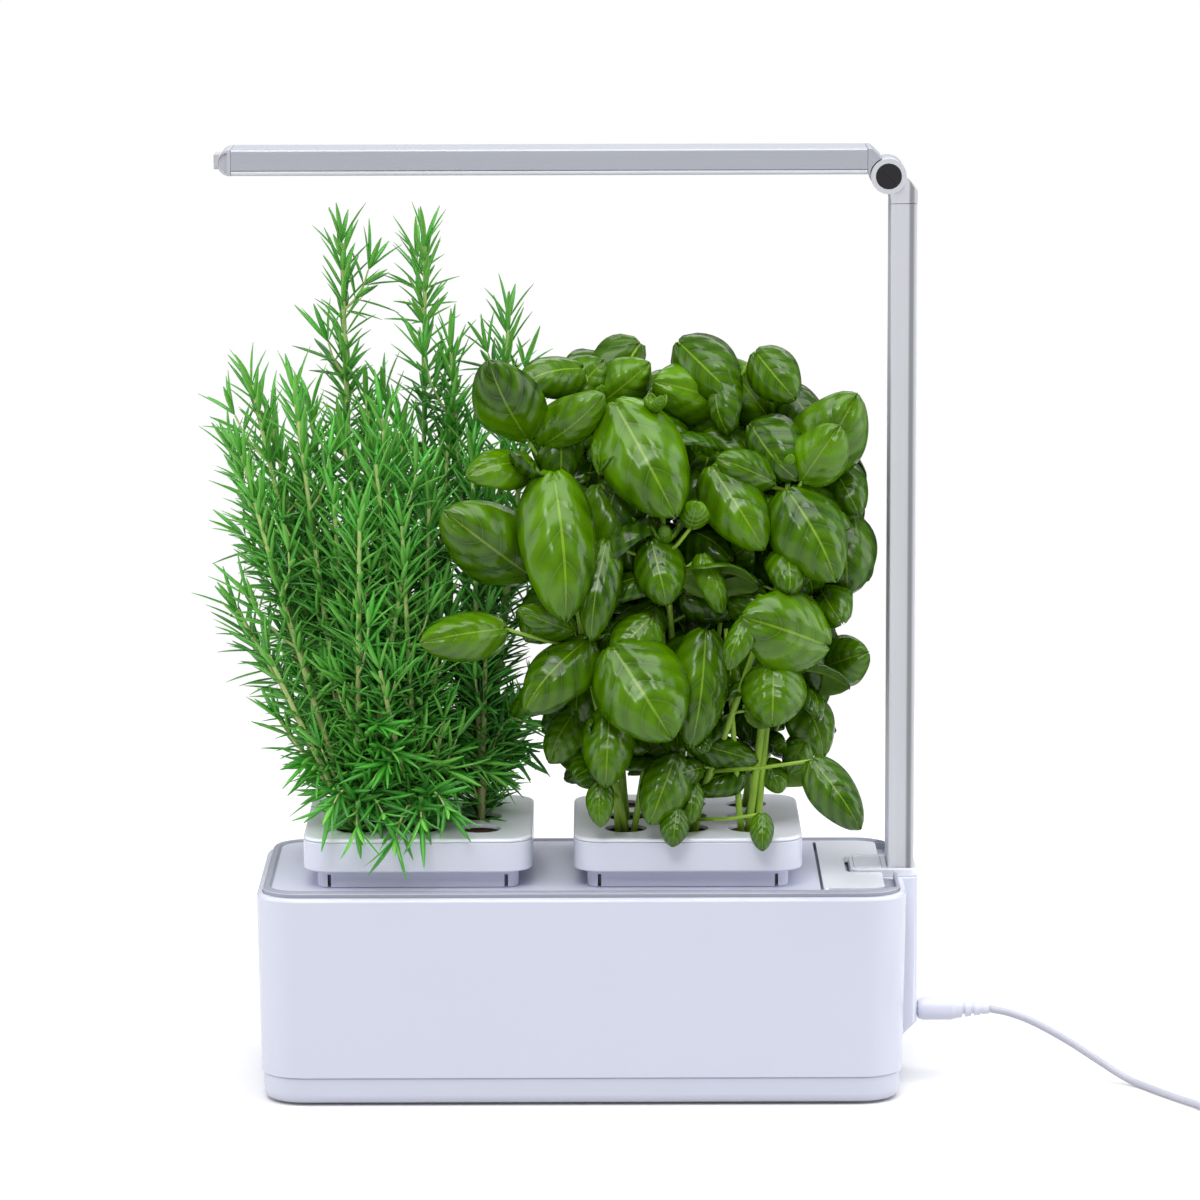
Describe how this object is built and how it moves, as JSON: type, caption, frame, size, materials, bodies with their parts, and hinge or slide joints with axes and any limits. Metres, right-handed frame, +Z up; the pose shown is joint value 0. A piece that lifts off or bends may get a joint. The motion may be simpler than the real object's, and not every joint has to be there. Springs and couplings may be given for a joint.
{
  "type": "countertop hydroponic garden",
  "caption": "White countertop hydroponic garden: a water tank with lift-out herb planters, a flip-up filler lid, a power key and a folding LED lamp arm on a slim post.",
  "frame": {"origin": "under the middle of the tank, on the counter; the base pan's underside is 1.2 mm above it on its feet", "axes": "+X to the right along the tank, towards the lamp post; +Y from the front to the back; +Z up"},
  "size_m": [0.4958, 0.1832, 0.4146],
  "materials": {
    "white_gloss": "glossy moulded plastic",
    "white_satin": "satin moulded plastic",
    "grey_deck": "fine satin moulded plastic",
    "tank_plastic": "smooth moulded plastic",
    "foot_rubber": "matt rubber",
    "steel": "plain machined steel",
    "anodised_aluminium": "fine bead-blasted and anodised",
    "black_plastic": "black moulded plastic",
    "circuit_board": "solder-masked glass fibre",
    "lamp_board": "white solder mask",
    "led_phosphor": "yellow phosphor",
    "diffuser": "milky translucent plastic, lit from behind",
    "wire_jacket": "smooth flexible plastic",
    "growing_medium": "damp brown peat sponge",
    "wick": "undyed felt",
    "rosemary_green": "waxy narrow leaves",
    "basil_green": "glossy domed leaves",
    "cord_jacket": "smooth flexible plastic",
    "blade_brass": "plain"
  },
  "bodies": {
    "base": {"outer_shell": "white_gloss", "base_pan": "white_gloss", "rubber_feet": "foot_rubber", "pan_screws": "steel", "water_tank": "tank_plastic", "deck": "grey_deck", "foot_block": "white_gloss", "key_board": "circuit_board", "board_screws": "steel", "control_board": "circuit_board", "dc_socket": "black_plastic", "post_screws": "steel", "lamp_post": "anodised_aluminium", "post_strip": "white_satin", "post_lead": "wire_jacket", "post_knuckle": "anodised_aluminium", "hinge_pin": "steel", "hinge_cap_front": "black_plastic", "hinge_cap_rear": "black_plastic", "friction_washers": "steel", "dc_plug": "cord_jacket", "plug_barrel": "steel", "cord": "cord_jacket", "cord_coil": "cord_jacket", "coil_tie": "black_plastic", "cord_tail": "cord_jacket", "wall_adapter": "white_satin", "adapter_blades": "blade_brass"},
    "lamp": {"lamp_knuckle": "anodised_aluminium", "lamp_bar": "anodised_aluminium", "led_board": "lamp_board", "led_chips": "led_phosphor", "lamp_lead": "wire_jacket", "diffuser": "diffuser", "lamp_end_cap": "white_satin"},
    "lid": {"filler_lid": "white_gloss"},
    "key": {"power_key": "white_gloss"},
    "left_planter": {"left_basket": "white_gloss", "left_box": "white_gloss", "left_cap": "white_gloss", "left_medium": "growing_medium", "left_wicks": "wick", "rosemary": "rosemary_green"},
    "right_planter": {"right_basket": "white_gloss", "right_box": "white_gloss", "right_cap": "white_gloss", "right_medium": "growing_medium", "right_wicks": "wick", "basil": "basil_green"}
  },
  "joints": [
    {"name": "lamp_tilt", "type": "hinge", "parent": "base", "child": "lamp", "pos_m": [0.1342, 0, 0.4023], "axis": [0, 1, 0], "range_deg": [-5, 90]},
    {"name": "lid_hinge", "type": "hinge", "parent": "base", "child": "lid", "pos_m": [0.107, 0, 0.0939], "axis": [0, -1, 0], "range_deg": [0, 85]},
    {"name": "key_press", "type": "slide", "parent": "base", "child": "key", "axis": [0, 0, -1], "range_m": [0, 0.0008], "stiffness_N_per_m": 600, "springref_m": -0.0003},
    {"name": "left_planter_lift", "type": "slide", "parent": "base", "child": "left_planter", "axis": [0, 0, 1], "range_m": [0, 0.042]},
    {"name": "right_planter_lift", "type": "slide", "parent": "base", "child": "right_planter", "axis": [0, 0, 1], "range_m": [0, 0.042]}
  ]
}
